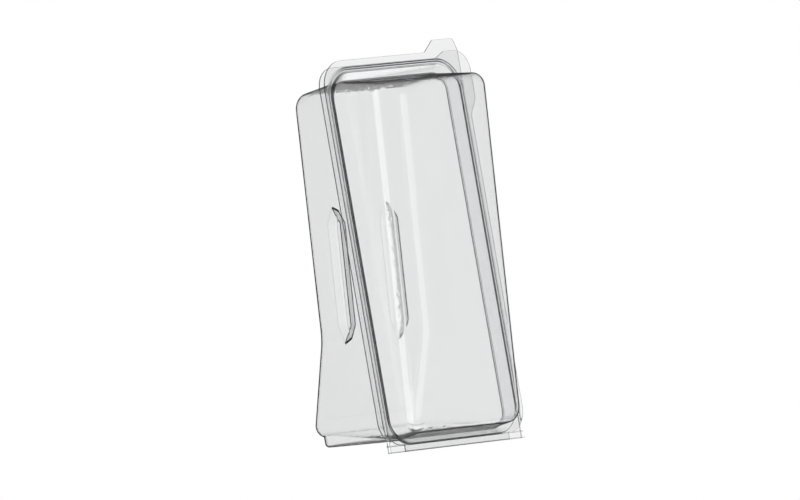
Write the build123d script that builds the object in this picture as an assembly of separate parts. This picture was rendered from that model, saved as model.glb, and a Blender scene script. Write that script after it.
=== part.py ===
from build123d import *
import math
import os

# Clear thermoformed clamshell pack: a deep tray and a shallow lid formed in one sheet
# and joined by a folded strip. It is modelled in the frame of its two flat panels
# (X across, Y towards the lifting tab, Z from the back panel to the front panel) and
# then laid down on its back, the way the closed pack comes to rest.

# Driving dimensions, millimetres and degrees
sheet = 0.5               # thickness of the plastic sheet
slope_gap = 0.45          # sideways air between the two rims where they slope
nest_gap = 0.1            # air between their flats
open_side = 40.8          # from the centre line to the foot of the side walls
open_tab = 87.7           # from the middle of the pack to the foot of the tab end wall
open_hinge = 93.9         # and to the foot of the hinge end wall
open_corner = 9.5         # corner radius of the opening
parting_tilt = 5.33       # the rim runs at this angle to the two panels

tray_depth = 38.1         # back panel below the rim's foot, at the middle of the pack
tray_draft = 4.3          # draft of the tray's side walls and tab end wall
tray_hinge_draft = 10.5   # draft of its hinge end wall
waist_y = -40.0           # the back panel is flat up to this waist
waist_angle = 15.8        # and flares back beyond it
waist_blend = 30.0        # radius that eases the waist
back_edge = 4.65          # radius round the edge of the back panel

lid_height = 22.7         # front panel above the rim's foot, at the middle of the pack
lid_draft = 1.0           # draft of the lid's side walls
lid_tab_draft = 9.0       # of its tab end wall
lid_hinge_draft = 5.0     # and of its hinge end wall
front_edge = 4.1          # radius round the edge of the front panel
corner_rate = 0.065       # the walls' corner radius shrinks by this over each millimetre

rise_up = 4.2             # the rim slopes up this far, to the crest of the bead
rise_side = 4.7           # and out this far at the sides
rise_tab = 4.0            # at the tab end
rise_hinge = 3.0          # and at the hinge end
crest = 1.2               # flat top of the bead
step_down = 0.9           # drop from the crest to the outer flat
step_out = 0.4            # slope of that drop

tray_leaf_side = 10.7     # tray leaf beyond the foot, at the sides
tray_leaf_tab = 6.8       # and at the tab end
tray_leaf_corner = 10.5   # its corners at the tab end
tray_hinge_corner = 12.5  # and at the hinge end
ear_out = 4.8             # finger ear at one corner of the tray leaf
ear_up = 3.1              # how far the ear passes the leaf's tab end
ear_length = 33.0
ear_root = 14.0           # length of the ear's root along the tab end
ear_corner = 10.5

lid_leaf_side = 7.9       # lid leaf beyond the foot, at the sides
header = 10.0             # and at the tab end
header_corner = 14.5
lid_hinge_corner = 10.0
tab_root = 23.4           # lifting tab, along the header
tab_top = 14.5            # and along its own edge
tab_length = 6.0
tab_corner = 2.5

strip_length = 3.5        # hinge strip between the leaves and the fold
tray_strip = 96.6         # its width on the tray
lid_strip = 74.0          # and on the lid

rib_spread = 37.1         # two stiffening ribs in the back panel, between their middles
rib_width = 9.4
rib_height = 4.8          # above the inside of the back panel
rib_tab_end = 26.0        # they reach from here
rib_hinge_end = -43.5     # to here, just past the waist
rib_point = 8.7           # length of their pointed ends
rib_draft = 13.0
rib_edge = 1.3            # radius round their tops

pad_side = 3.6            # end pad on the hinge end wall, inset from the tray's sides
pad_out = 0.1             # its flat face beyond the foot of the hinge end wall
pad_rise = 6.0            # its lower edge above the flared end of the back panel
pad_corner = 6.0
pad_edge = 1.6
pad_draft = 6.0

tilt = math.radians(parting_tilt)
flare = math.radians(waist_angle)
panel_top = tray_depth + lid_height
far = open_tab + open_hinge    # cutting blocks reach this far, past the whole pack
flare_depth = (open_hinge + waist_y) * math.tan(flare)
# the drafted walls are drawn a little past the panels and trimmed there
tray_reach = tray_depth + flare_depth + open_hinge * math.sin(tilt) + 3
lid_reach = lid_height + open_tab * math.sin(tilt) + 3
outer_flat = rise_up - step_down
fold = open_hinge + rise_hinge + strip_length
rim_plane = Plane(
    origin=(0, 0, tray_depth), x_dir=(1, 0, 0), z_dir=(0, math.sin(tilt), math.cos(tilt))
)


def ring(level, side, tab_end, hinge_end, corner):
    """Rounded rectangle parallel to the rim, measured out from the opening."""
    low = -open_hinge - hinge_end
    high = open_tab + tab_end
    outline = RectangleRounded(2 * (open_side + side), high - low, corner)
    return rim_plane * Pos(0, (low + high) / 2, level) * outline


def skirt(low, low_out, high, high_out):
    """Solid between two rings; each is given by how far it lies out on the three kinds
    of side."""
    return loft(
        [
            ring(low, *low_out, open_corner + low_out[0]),
            ring(high, *high_out, open_corner + high_out[0]),
        ],
        ruled=True,
    )


def along(rise, shift):
    """Offsets of the sloping rim at a share of its rise, shifted out sideways."""
    return tuple(
        rise * reach + shift * lean
        for reach, lean in zip((rise_side, rise_tab, rise_hinge), (1, 1, 0.8))
    )


def wall_block(reach, drafts, grow):
    """Block with drafted walls that leaves the opening, down for a negative reach."""
    depth = abs(reach)
    far = [grow - depth * math.tan(math.radians(angle)) for angle in drafts]
    near = ring(0, grow, grow, grow, open_corner + grow)
    end = ring(reach, *far, open_corner + grow - depth * corner_rate)
    return loft([near, end], ruled=True)


def rim_edge(solid, faces):
    """Edges where the given panel faces meet the walls."""
    seen = {}
    for face in faces:
        for edge in face.edges():
            key = tuple(round(v, 2) for v in edge.center())
            seen.setdefault(key, []).append(edge)
    return [found[0] for found in seen.values() if len(found) == 1]


def back_profile(inset):
    """Side view of everything in front of the back panel, set in by a distance."""
    kink = waist_y - inset * math.tan(flare / 2)
    low_z = inset + (-far - kink) * math.tan(flare)
    points = [(kink, inset), (far, inset), (far, far), (-far, far), (-far, low_z)]
    face = make_face(Polyline(*points, close=True))
    corner = face.vertices().sort_by_distance((kink, inset))[0]
    face = fillet(corner, waist_blend + inset)
    return extrude(Plane.YZ * face, far, both=True)


def rib(inset):
    """Pair of blocks that press the ribs into the back panel, flanks drawn on below it."""
    draft = math.radians(rib_draft)
    below = 4.0
    thin = (sheet - inset) / math.cos(draft) - below * math.tan(draft)
    half = rib_width / 2 - thin
    point = math.atan2(rib_width / 2, rib_point)
    tip = thin / math.sin(point)
    shoulder = tip + half / math.tan(point)
    length = rib_tab_end - rib_hinge_end
    side = [(0, tip), (half, shoulder), (half, length - shoulder), (0, length - tip)]
    face = make_face(Polyline(*side, *[(-x, y) for x, y in side[2:0:-1]], close=True))
    block = extrude(face, below + rib_height + inset, taper=rib_draft)
    block = fillet(block.faces().sort_by(Axis.Z)[-1].edges(), rib_edge - sheet + inset)
    return [
        Pos(x, rib_hinge_end, -below) * block for x in (-rib_spread / 2, rib_spread / 2)
    ]


def tray_form(grow):
    """Tray body from the rim's foot to the back panel; grow 0 is its inside."""
    inset = sheet - grow
    block = wall_block(-tray_reach, (tray_draft, tray_draft, tray_hinge_draft), grow)
    body = block & back_profile(inset)
    backs = [f for f in body.faces() if f.normal_at().Z < -0.9]
    body = fillet(rim_edge(body, backs), back_edge - inset)
    return body - rib(inset)


def lid_form(grow):
    """Lid body from the rim's foot to the front panel, within the tray's opening."""
    inset = -grow - slope_gap
    block = wall_block(lid_reach, (lid_draft, lid_tab_draft, lid_hinge_draft), grow)
    slab = Pos(0, 0, panel_top - inset - far / 2) * Box(2 * far, 2 * far, far)
    body = block & slab
    fronts = [f for f in body.faces() if f.normal_at().Z > 0.999]
    return fillet(rim_edge(body, fronts), front_edge - inset)


def outline(points):
    """Flat face through corner points, each with its own corner radius."""
    face = make_face(Polyline(*[(x, y) for x, y, r in points], close=True))
    for x, y, radius in points:
        if radius:
            corner = face.vertices().sort_by_distance((x, y))[0]
            face = fillet(corner, radius)
    return face


def tray_leaf():
    """Outline of the tray's leaf with its finger ear."""
    side = open_side + tray_leaf_side
    low = -open_hinge - rise_hinge
    high = open_tab + tray_leaf_tab
    ear_low = high + ear_up - ear_length
    return outline([
        (-side, low, tray_hinge_corner),
        (side, low, tray_hinge_corner),
        (side, ear_low, 6),
        (side + ear_out, ear_low + 7.5, 8),
        (side + ear_out, high + ear_up, ear_corner),
        (side + ear_out - ear_root - ear_up, high + ear_up, 4),
        (side + ear_out - ear_root - 3 * ear_up, high, 4),
        (-side, high, tray_leaf_corner),
    ])


def lid_leaf():
    """Outline of the lid's leaf with its header and lifting tab."""
    side = open_side + lid_leaf_side
    low = -open_hinge - rise_hinge
    high = open_tab + header
    return outline([
        (-side, low, lid_hinge_corner),
        (side, low, lid_hinge_corner),
        (side, high, 3),
        (side - (tab_root - tab_top) / 4, high + tab_length, tab_corner),
        (side - (tab_root - tab_top) / 4 - tab_top, high + tab_length, tab_corner),
        (side - tab_root, high, 2),
        (-side, high, header_corner),
    ])


def plate(face, low, high):
    """Sheet of the given outline parallel to the rim, between two levels."""
    return extrude(rim_plane * Pos(0, 0, low) * face, high - low)


def end_pad(grow):
    """Flat pad on the tray's hinge end wall; grow 0 is its inside."""
    low = pad_rise - flare_depth
    high = tray_depth + open_hinge * math.sin(tilt) - 1
    out = grow
    side = open_side - pad_side - tray_depth * math.tan(math.radians(tray_draft))
    face = RectangleRounded(
        2 * (side + out), high - low + 12 + 2 * out, pad_corner + out
    )
    flat_y = -open_hinge - pad_out + sheet - grow
    base = Plane(origin=(0, flat_y, 0), x_dir=(1, 0, 0), z_dir=(0, 1, 0))
    pad = extrude(
        base * Pos(0, -(low + high + 12) / 2) * face, 14, taper=-pad_draft
    )
    front = pad.faces().sort_by(Axis.Y)[0]
    pad = fillet(front.edges(), pad_edge + grow)
    return pad & wall_block(-tray_reach, (tray_draft, tray_draft, -8), grow)


def rim(leaf, strip_width, lift, foot, shift, spread):
    """Sloping rim, bead, leaf and hinge strip of one shell.

    lift raises it above the tray's level, foot is the level where its slope starts,
    shift moves the slope sideways and spread widens the bead.
    """
    over = 1.0
    up = over / rise_up
    top = rise_up + lift
    slope_under = skirt(
        foot, along(foot / rise_up, shift + slope_wall),
        top, along(top / rise_up, shift + slope_wall),
    )
    slope_top = skirt(-over, along(-up, shift), rise_up + over, along(1 + up, shift))
    flat_low = outer_flat - sheet + lift
    crest_low = top - sheet

    def bead(level, out):
        drop = (top - level) / step_down * step_out
        wide = [v + crest + spread + out + drop for v in (rise_side, rise_tab)]
        return (level, (wide[0], wide[1], fold))

    outer = skirt(*bead(flat_low, 0), *bead(crest_low + sheet, 0))
    under = skirt(*bead(flat_low - over, -step_wall), *bead(crest_low, -step_wall))
    strip = Pos(0, -fold + (strip_length + 2) / 2) * Rectangle(
        strip_width, strip_length + 2
    )
    cut = plate(leaf, -over, rise_up + 3 * over)
    cut += plate(strip, -over, rise_up + 3 * over)
    raised = (outer & cut) - (under - slope_under)
    flat = plate(leaf, flat_low, flat_low + sheet) - outer
    body = slope_under + raised + flat
    return body - slope_top


# The sloping sheet measured level with the rim
slope_wall = sheet / math.sin(math.atan2(rise_up, rise_side))
step_wall = sheet / math.sin(math.atan2(step_down, step_out))

# The tray's slope starts inside its wall, and the lid's at the very foot of its wall
tray_rim = rim(tray_leaf(), tray_strip, 0, -1.2 * sheet, 0, 0)
tray = tray_form(sheet) + end_pad(sheet) + tray_rim - tray_form(0) - end_pad(0)
# the sheet turns up at the fold, where the two strips meet
fold_line = Pos(0, -fold + sheet / 2) * Rectangle(lid_strip, sheet)
tray += plate(fold_line, rise_up, rise_up + nest_gap)
lid_rim = rim(
    lid_leaf(), lid_strip, sheet + nest_gap, 0, -slope_gap - slope_wall,
    slope_gap + step_wall,
)
lid = lid_form(-slope_gap) - lid_form(-slope_gap - sheet) + lid_rim

# At rest the pack bears on the flared end and on the tab end of the back panel, both
# of them rounded: the line between the centres of the two rounds lies level
wall_lean = math.radians(parting_tilt + tray_draft)
tab_y = open_tab * math.cos(tilt) + sheet / math.cos(wall_lean)
tab_z = tray_depth - open_tab * math.sin(tilt)
tab_round = tab_y - tab_z * math.tan(wall_lean) - back_edge * math.tan(
    (math.pi / 2 - wall_lean) / 2
)
end_lean = math.radians(tray_hinge_draft - parting_tilt)
end_y = -open_hinge * math.cos(tilt) - sheet / math.cos(end_lean)
end_z = tray_depth + open_hinge * math.sin(tilt)
# corner where the flared panel meets the hinge end wall
corner_z = (end_y + end_z * math.tan(end_lean) - waist_y) * math.tan(flare)
corner_z /= 1 + math.tan(end_lean) * math.tan(flare)
corner_y = end_y + (end_z - corner_z) * math.tan(end_lean)
inner_angle = math.pi / 2 + end_lean - flare
reach = back_edge / math.sin(inner_angle / 2)
middle = flare + inner_angle / 2
round_y = corner_y + reach * math.cos(middle)
round_z = corner_z + reach * math.sin(middle)
rest_tilt = math.atan2(back_edge - round_z, tab_round - round_y)

lean = Rot(-math.degrees(rest_tilt), 0, 0)
bounds = Compound([lean * tray, lean * lid]).bounding_box()
place = Pos(-bounds.center().X, -bounds.center().Y, -bounds.min.Z) * lean
nodes = {"tray_shell": place * tray, "lid_shell": place * lid}
# the record's hinge joint stands here
hinge = place * rim_plane.location * Pos(0, -fold, rise_up + nest_gap / 2)
print("hinge", hinge.position)

os.makedirs("parts", exist_ok=True)
for node, shape in nodes.items():
    export_step(shape, f"parts/{node}.step")
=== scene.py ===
"""Clear clamshell pack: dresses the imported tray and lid, adds the fold and the score of the
hinge strip, and sets the studio and the camera."""

import logging
import math
from dataclasses import dataclass, field
from enum import Enum

import bmesh
import bpy
from mathutils import Matrix, Vector


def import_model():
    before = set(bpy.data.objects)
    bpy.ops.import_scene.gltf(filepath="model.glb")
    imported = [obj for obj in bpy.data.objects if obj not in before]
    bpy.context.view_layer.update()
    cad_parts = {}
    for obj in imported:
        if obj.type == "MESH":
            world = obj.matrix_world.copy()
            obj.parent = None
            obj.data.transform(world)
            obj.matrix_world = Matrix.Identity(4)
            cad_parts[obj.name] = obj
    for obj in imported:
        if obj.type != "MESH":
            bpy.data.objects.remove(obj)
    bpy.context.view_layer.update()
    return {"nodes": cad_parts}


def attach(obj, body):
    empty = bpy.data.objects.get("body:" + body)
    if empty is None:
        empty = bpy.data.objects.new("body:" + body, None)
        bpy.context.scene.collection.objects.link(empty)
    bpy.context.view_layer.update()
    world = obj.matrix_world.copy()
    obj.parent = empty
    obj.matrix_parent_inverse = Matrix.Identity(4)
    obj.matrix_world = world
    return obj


log = logging.getLogger("clamshell")


class Body(Enum):
    """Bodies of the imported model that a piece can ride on."""

    TRAY = "tray"
    LID = "lid"


class Shell(Enum):
    """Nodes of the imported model."""

    TRAY = "tray_shell"
    LID = "lid_shell"


@dataclass(frozen=True)
class SheetRipple:
    """Faint unevenness that forming leaves in a clear sheet.

    Attributes:
        broad: Size of the slow waves, in metres.
        fine: Size of the small waves, in metres.
        share: Share of the small waves in the mix.
        broad_detail: Octaves of the slow waves.
        fine_detail: Octaves of the small waves.
        jaggedness: How much the higher octaves add, from 0 to 1.
    """

    broad: float = 0.035
    fine: float = 0.006
    share: float = 0.12
    broad_detail: float = 1.5
    fine_detail: float = 2.0
    jaggedness: float = 0.4

    def group(self) -> bpy.types.NodeTree:
        """Builds the group once, or returns the one that exists.

        Returns:
            A node group whose output is the height of the ripple.
        """
        name = "sheet_ripple"
        found = bpy.data.node_groups.get(name)
        if found:
            return found
        tree = bpy.data.node_groups.new(name, "ShaderNodeTree")
        tree.interface.new_socket("Vector", in_out="INPUT", socket_type="NodeSocketVector")
        tree.interface.new_socket("Height", in_out="OUTPUT", socket_type="NodeSocketFloat")
        entry = tree.nodes.new("NodeGroupInput")
        leave = tree.nodes.new("NodeGroupOutput")
        slow = self._noise(tree, self.broad, self.broad_detail)
        quick = self._noise(tree, self.fine, self.fine_detail)
        mix = tree.nodes.new("ShaderNodeMix")
        mix.data_type = "FLOAT"
        mix.inputs["Factor"].default_value = self.share
        for noise in (slow, quick):
            tree.links.new(entry.outputs["Vector"], noise.inputs["Vector"])
        tree.links.new(slow.outputs["Fac"], mix.inputs["A"])
        tree.links.new(quick.outputs["Fac"], mix.inputs["B"])
        tree.links.new(mix.outputs["Result"], leave.inputs["Height"])
        return tree

    def _noise(
        self, tree: bpy.types.NodeTree, size: float, detail: float
    ) -> bpy.types.Node:
        """Adds a noise of the given size.

        Args:
            tree: Tree that gets the node.
            size: Size of a wave, in metres.
            detail: Octaves of the noise.

        Returns:
            The noise node.
        """
        noise = tree.nodes.new("ShaderNodeTexNoise")
        noise.inputs["Scale"].default_value = 1.0 / size
        noise.inputs["Detail"].default_value = detail
        noise.inputs["Roughness"].default_value = self.jaggedness
        return noise


@dataclass(frozen=True)
class CreaseShadeMask:
    """Mask of the lines where the sheet bends sharply or is cut, along which shade is painted
    into the sheet's colour.

    Attributes:
        start: Turn of the normal at which the mask starts, as 1 minus its cosine.
        full: Turn at which it is full.
    """

    start: float = 0.01
    full: float = 0.12

    def group(self) -> bpy.types.NodeTree:
        """Builds the group once, or returns the one that exists.

        Returns:
            A node group that turns the bent normal into a mask from 0 to 1.
        """
        name = "crease_shade_mask"
        found = bpy.data.node_groups.get(name)
        if found:
            return found
        tree = bpy.data.node_groups.new(name, "ShaderNodeTree")
        tree.interface.new_socket("Bent", in_out="INPUT", socket_type="NodeSocketVector")
        tree.interface.new_socket("Crease", in_out="OUTPUT", socket_type="NodeSocketFloat")
        entry = tree.nodes.new("NodeGroupInput")
        leave = tree.nodes.new("NodeGroupOutput")
        here = tree.nodes.new("ShaderNodeNewGeometry")
        dot = tree.nodes.new("ShaderNodeVectorMath")
        dot.operation = "DOT_PRODUCT"
        level = tree.nodes.new("ShaderNodeMapRange")
        level.inputs["From Min"].default_value = 1.0 - self.start
        level.inputs["From Max"].default_value = 1.0 - self.full
        tree.links.new(entry.outputs["Bent"], dot.inputs[0])
        tree.links.new(here.outputs["Normal"], dot.inputs[1])
        tree.links.new(dot.outputs["Value"], level.inputs["Value"])
        tree.links.new(level.outputs["Result"], leave.inputs["Crease"])
        return tree


@dataclass(frozen=True)
class ClearSheet:
    """Clear, glossy, slightly grey plastic sheet, with shade painted into its colour along
    creases and cut edges.

    Attributes:
        name: Name of the material.
        tint: Colour that light keeps on its way through the sheet.
        roughness: Roughness of the surface.
        ior: Refractive index of the plastic.
        ripple: Depth of the forming ripple, in metres.
        bend: Radius of the softened creases and cut edges, in metres.
        bend_samples: Rays that feel for a crease at each point.
        painted_crease_shade: Painted shade: the darker colour that the sheet gets along its
            creases and cut
        edges, standing in for the dark lines that grazing light makes there.
    """

    name: str = "clear_sheet"
    tint: tuple[float, float, float] = (0.975, 0.977, 0.98)
    roughness: float = 0.015
    ior: float = 1.57
    ripple: float = 0.0001
    bend: float = 0.0004
    bend_samples: int = 8
    painted_crease_shade: tuple[float, float, float] = (0.55, 0.55, 0.56)

    def build(self) -> bpy.types.Material:
        """Builds the material.

        Returns:
            The finished material.
        """
        material = bpy.data.materials.new(self.name)
        material.use_nodes = True
        tree = material.node_tree
        tree.nodes.clear()
        out = tree.nodes.new("ShaderNodeOutputMaterial")
        shader = tree.nodes.new("ShaderNodeBsdfPrincipled")
        shader.inputs["Roughness"].default_value = self.roughness
        shader.inputs["IOR"].default_value = self.ior
        shader.inputs["Transmission Weight"].default_value = 1.0
        place = tree.nodes.new("ShaderNodeTexCoord")
        ripple = tree.nodes.new("ShaderNodeGroup")
        ripple.node_tree = SheetRipple().group()
        bump = tree.nodes.new("ShaderNodeBump")
        bump.inputs["Distance"].default_value = self.ripple
        bend = tree.nodes.new("ShaderNodeBevel")
        bend.samples = self.bend_samples
        bend.inputs["Radius"].default_value = self.bend
        crease = tree.nodes.new("ShaderNodeGroup")
        crease.node_tree = CreaseShadeMask().group()
        # Painted shade: the sheet's colour is darkened towards the crease colour where the
        # crease mask is full.
        tint_with_painted_shade = tree.nodes.new("ShaderNodeMix")
        tint_with_painted_shade.data_type = "RGBA"
        tint_with_painted_shade.inputs["A"].default_value = (*self.tint, 1.0)
        tint_with_painted_shade.inputs["B"].default_value = (*self.painted_crease_shade, 1.0)
        tree.links.new(bend.outputs["Normal"], crease.inputs["Bent"])
        tree.links.new(crease.outputs["Crease"], tint_with_painted_shade.inputs["Factor"])
        tree.links.new(tint_with_painted_shade.outputs["Result"], shader.inputs["Base Color"])
        tree.links.new(bend.outputs["Normal"], bump.inputs["Normal"])
        tree.links.new(place.outputs["Object"], ripple.inputs["Vector"])
        tree.links.new(ripple.outputs["Height"], bump.inputs["Height"])
        tree.links.new(bump.outputs["Normal"], shader.inputs["Normal"])
        tree.links.new(shader.outputs["BSDF"], out.inputs["Surface"])
        return material


@dataclass
class FormedShell:
    """One half of the pack, as packed.

    Attributes:
        shell: Which node it is.
    """

    shell: Shell

    def dress(self, nodes: dict[str, bpy.types.Object], material: bpy.types.Material) -> None:
        """Gives the node its material.

        Args:
            nodes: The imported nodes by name.
            material: The built finish.
        """
        node = nodes[self.shell.value]
        for place in node.material_slots:
            place.material = material
        log.info("dressed %s with %s", self.shell.value, material.name)


@dataclass(frozen=True)
class RimPlane:
    """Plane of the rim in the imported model.

    Attributes:
        origin: Its middle, in metres.
        tilt: Its slope towards the hinge end, in degrees.
    """

    origin: tuple[float, float, float] = (-0.0024, -0.002189, 0.043966)
    tilt: float = 9.667

    def to_model(self) -> Matrix:
        """Works out where the rim lies.

        Returns:
            The way from the rim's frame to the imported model.
        """
        return Matrix.Translation(self.origin) @ Matrix.Rotation(
            -math.radians(self.tilt), 4, "X"
        )


@dataclass
class HingeLine:
    """Rolled line in the hinge strip, as in a fold or a score.

    Attributes:
        name: Name of the piece.
        along: Its middle along the pack, in metres.
        level: Its middle above the rim's foot.
        width: Its width along the pack.
        height: Its height.
        reach: Half its length across the pack.
        rounding: Radius of its long edges, as a share of its thinner side.
        facets: Facets of each rounded edge.
        smooth_up_to: Angle up to which it is shaded smooth, in degrees.
        body: Body that it rides on.
    """

    name: str
    along: float
    level: float
    width: float
    height: float
    reach: float
    rounding: float = 0.45
    facets: int = 4
    smooth_up_to: float = 35.0
    body: Body = Body.TRAY

    def model(self, rim: RimPlane, material: bpy.types.Material) -> bpy.types.Object:
        """Models the line as a rounded bar and carries it into place.

        Args:
            rim: The plane that the sizes are measured from.
            material: Its finish.

        Returns:
            The finished piece, riding on its body.
        """
        bpy.ops.object.select_all(action="DESELECT")
        middle = (0.0, self.along, self.level)
        bpy.ops.mesh.primitive_cube_add(size=1.0, location=middle)
        piece = bpy.context.active_object
        piece.name = self.name
        piece.data.name = self.name
        bpy.ops.object.mode_set(mode="EDIT")
        bpy.ops.mesh.select_all(action="SELECT")
        bpy.ops.transform.resize(
            value=(2 * self.reach, self.width, self.height), center_override=middle
        )
        bpy.ops.mesh.select_mode(type="EDGE")
        bpy.ops.mesh.select_all(action="DESELECT")
        shape = bmesh.from_edit_mesh(piece.data)
        for edge in shape.edges:
            along = edge.verts[0].co - edge.verts[1].co
            edge.select_set(abs(along.x) > self.reach)
        bmesh.update_edit_mesh(piece.data)
        bpy.ops.mesh.bevel(
            offset=self.rounding * min(self.width, self.height),
            segments=self.facets,
            affect="EDGES",
        )
        bpy.ops.object.mode_set(mode="OBJECT")
        bpy.ops.object.shade_smooth_by_angle(angle=math.radians(self.smooth_up_to))
        piece.matrix_world = rim.to_model() @ piece.matrix_world
        bpy.ops.object.transform_apply(location=True, rotation=True, scale=True)
        piece.data.materials.append(material)
        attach(piece, self.body.value)
        log.info("modelled %s: %d faces", piece.name, len(piece.data.polygons))
        return piece


@dataclass(frozen=True)
class HingeStrip:
    """The tray's half of the hinge strip, measured from the rim, in metres.

    Attributes:
        sheet: Thickness of the sheet.
        fold: Place of the fold along the pack.
        score: Place of the crease between leaf and strip.
        low: Underside of the strip above the rim's foot.
        width: Width of the strip across the pack.
        lip: How far the rolled fold stands above the strip.
        score_width: Width of the score.
    """

    sheet: float = 0.0005
    fold: float = -0.1004
    score: float = -0.0969
    low: float = 0.0037
    width: float = 0.0966
    lip: float = 0.00005
    score_width: float = 0.0006

    def lines(self) -> tuple[HingeLine, ...]:
        """Lays out the strip's two lines.

        Returns:
            The rolled fold and the score.
        """
        rolled = self.sheet + self.lip
        half = self.width / 2
        return (
            HingeLine(
                "hinge_fold", self.fold + self.sheet / 2, self.low + rolled / 2,
                self.sheet, rolled, half,
            ),
            HingeLine(
                "hinge_score", self.score, self.low - self.sheet / 2,
                self.score_width, self.sheet, half,
            ),
        )


@dataclass(frozen=True)
class SoftLamp:
    """Round soft lamp that the camera doesn't see.

    Attributes:
        name: Name of the lamp.
        toward: Direction from the pack to the lamp.
        away: Distance from the pack, in metres.
        size: Width of the lamp, in metres.
        power: Power of the lamp, in watts.
    """

    name: str
    toward: Vector
    away: float
    size: float
    power: float

    def place(self) -> None:
        """Adds the lamp to the scene."""
        data = bpy.data.lights.new(self.name, "AREA")
        data.shape = "DISK"
        data.size = self.size
        data.energy = self.power
        lamp = bpy.data.objects.new(self.name, data)
        bpy.context.scene.collection.objects.link(lamp)
        lamp.location = self.toward.normalized() * self.away
        lamp.rotation_euler = self.toward.to_track_quat("Z", "Y").to_euler()
        lamp.visible_camera = False


@dataclass(frozen=True)
class Studio:
    """Plain white backdrop and floor, in dim surroundings.

    Attributes:
        shade: Brightness of the surroundings as they light the object.
        floor_size: Side of the floor, in metres.
        floor_gap: Air between the floor and the pack, in metres.
        reflected: Glossy bounces from which the surroundings count as reflected.
    """

    shade: float = 0.06
    floor_size: float = 12.0
    floor_gap: float = 0.0002
    reflected: float = 0.5

    def world(self) -> None:
        """Makes the world white where it is seen, and dimmer where it lights."""
        world = bpy.data.worlds.new("studio")
        bpy.context.scene.world = world
        world.use_nodes = True
        tree = world.node_tree
        tree.nodes.clear()
        out = tree.nodes.new("ShaderNodeOutputWorld")
        back = tree.nodes.new("ShaderNodeBackground")
        tree.links.new(self._seen_white(tree), back.inputs["Strength"])
        tree.links.new(back.outputs["Background"], out.inputs["Surface"])

    def _seen_white(self, tree: bpy.types.NodeTree) -> bpy.types.NodeSocket:
        """Adds a strength that is 1 where seen directly or straight through the sheet.

        Args:
            tree: Tree that gets the nodes.

        Returns:
            The socket with the strength.
        """
        path = tree.nodes.new("ShaderNodeLightPath")
        seen = tree.nodes.new("ShaderNodeMath")
        seen.operation = "MAXIMUM"
        tree.links.new(path.outputs["Is Camera Ray"], seen.inputs[0])
        tree.links.new(path.outputs["Is Transmission Ray"], seen.inputs[1])
        straight = tree.nodes.new("ShaderNodeMath")
        straight.operation = "LESS_THAN"
        straight.inputs[1].default_value = self.reflected
        tree.links.new(path.outputs["Glossy Depth"], straight.inputs[0])
        both = tree.nodes.new("ShaderNodeMath")
        both.operation = "MULTIPLY"
        tree.links.new(seen.outputs["Value"], both.inputs[0])
        tree.links.new(straight.outputs["Value"], both.inputs[1])
        level = tree.nodes.new("ShaderNodeMapRange")
        level.inputs["To Min"].default_value = self.shade
        level.inputs["To Max"].default_value = 1.0
        tree.links.new(both.outputs["Value"], level.inputs["Value"])
        return level.outputs["Result"]

    def floor(self) -> None:
        """Lays the floor under the pack."""
        bpy.ops.object.select_all(action="DESELECT")
        bpy.ops.mesh.primitive_plane_add(
            size=self.floor_size, location=(0.0, 0.0, -self.floor_gap)
        )
        floor = bpy.context.active_object
        floor.name = "floor"
        material = bpy.data.materials.new("floor")
        material.use_nodes = True
        tree = material.node_tree
        tree.nodes.clear()
        out = tree.nodes.new("ShaderNodeOutputMaterial")
        glow = tree.nodes.new("ShaderNodeEmission")
        tree.links.new(self._seen_white(tree), glow.inputs["Strength"])
        tree.links.new(glow.outputs["Emission"], out.inputs["Surface"])
        floor.data.materials.append(material)


@dataclass
class Camera:
    """Long lens that looks square to the pack's long axis.

    Attributes:
        rest_tilt: Angle at which the pack's panels lie, in degrees.
        turn: Turn about the long axis from the front panel towards the left side.
        roll: Lean of the long axis in the picture, to the left.
        lens: Focal length, in millimetres.
        away: Distance from the point that it looks at.
        aim: Point in the middle of the picture.
        sensor: Width of the sensor, in millimetres.
        sight: Farthest distance that it sees, in metres.
    """

    rest_tilt: float = 4.337
    turn: float = 45.0
    roll: float = 6.1
    lens: float = 700.0
    away: float = 7.78
    aim: Vector = field(default_factory=lambda: Vector((-0.0024, -0.00257, 0.03196)))
    sensor: float = 36.0
    sight: float = 100.0

    def view(self) -> Matrix:
        """Works out the camera's axes.

        Returns:
            The rotation from the camera's axes to the world's.
        """
        lay = Matrix.Rotation(-math.radians(self.rest_tilt), 3, "X")
        turn = math.radians(self.turn)
        back = lay @ Vector((-math.sin(turn), 0.0, math.cos(turn)))
        along = lay @ Vector((0.0, 1.0, 0.0))
        across = along.cross(back)
        roll = math.radians(self.roll)
        up = along * math.cos(roll) + across * math.sin(roll)
        right = up.cross(back)
        return Matrix((right, up, back)).transposed()

    def place(self) -> Vector:
        """Adds the camera and makes it the scene's.

        Returns:
            The direction from the pack to the camera.
        """
        axes = self.view()
        data = bpy.data.cameras.new("camera")
        data.lens = self.lens
        data.sensor_width = self.sensor
        data.clip_end = self.sight
        camera = bpy.data.objects.new("camera", data)
        bpy.context.scene.collection.objects.link(camera)
        back = axes @ Vector((0.0, 0.0, 1.0))
        camera.location = self.aim + back * self.away
        camera.rotation_euler = axes.to_euler()
        bpy.context.scene.camera = camera
        return back


def main() -> None:
    """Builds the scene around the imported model."""
    logging.basicConfig(level=logging.INFO, format="%(name)s: %(message)s")
    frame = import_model()
    bpy.context.scene.view_settings.view_transform = "Standard"
    material = ClearSheet().build()
    for shell in Shell:
        FormedShell(shell).dress(frame["nodes"], material)
    rim = RimPlane()
    for line in HingeStrip().lines():
        line.model(rim, material)
    back = Camera().place()
    studio = Studio()
    studio.world()
    studio.floor()
    beside_camera = back + Vector((-0.15, 0.0, 0.0))
    low_in_front = Vector((0.7, -0.7, 0.1))
    SoftLamp("front_lamp", beside_camera, away=1.2, size=2.4, power=17.0).place()
    SoftLamp("low_lamp", low_in_front, away=1.2, size=0.6, power=1.0).place()
    bpy.context.view_layer.update()


if __name__ == "__main__":
    main()
